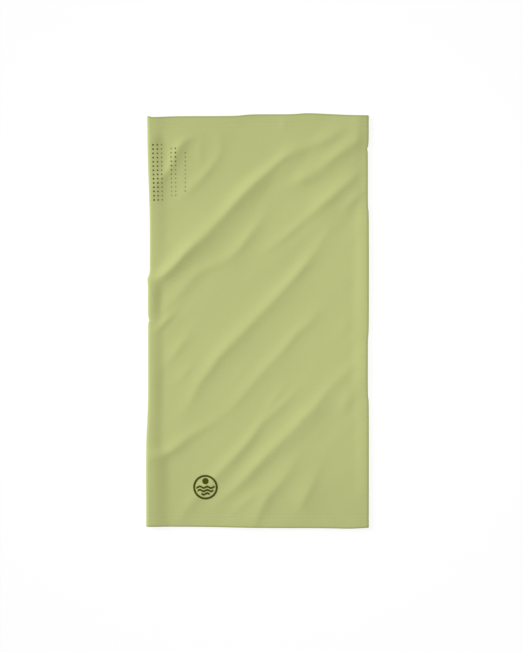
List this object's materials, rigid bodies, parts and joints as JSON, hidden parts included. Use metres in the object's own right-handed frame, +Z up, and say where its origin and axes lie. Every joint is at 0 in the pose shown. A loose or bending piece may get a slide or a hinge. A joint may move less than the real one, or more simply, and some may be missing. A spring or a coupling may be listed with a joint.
{
  "type": "neck gaiter",
  "caption": "Flat-laid tube of thin stretch knit for the neck and lower face, with stitched hems, a flat seam, breathing holes by one fold and a small round emblem.",
  "frame": {"origin": "on the ground, under the middle of the flat-laid tube", "axes": "+X from the fold with the breathing holes to the fold beside the seam, +Y along the tube to the mouth nearer the breathing holes, +Z up out of the front layer"},
  "size_m": [0.245, 0.456, 0.0093],
  "materials": {
    "knit": "soft brushed polyester and elastane jersey, matt",
    "thread": "textured polyester sewing thread, tone on tone",
    "film": "matt heat-transfer film",
    "label": "blank satin ribbon"
  },
  "bodies": {
    "root": {"knit_panel": "knit", "seam_needle_thread_left": "thread", "seam_needle_thread_right": "thread", "seam_cover_thread": "thread", "seam_looper_thread": "thread", "top_hem_needle_thread_outer_row": "thread", "top_hem_needle_thread_inner_row": "thread", "top_hem_looper_thread": "thread", "bottom_hem_needle_thread_outer_row": "thread", "bottom_hem_needle_thread_inner_row": "thread", "bottom_hem_looper_thread": "thread", "emblem_ring": "film", "emblem_sun": "film", "emblem_wave_upper": "film", "emblem_wave_middle": "film", "emblem_wave_lower": "film", "care_label": "label"}
  },
  "joints": []
}
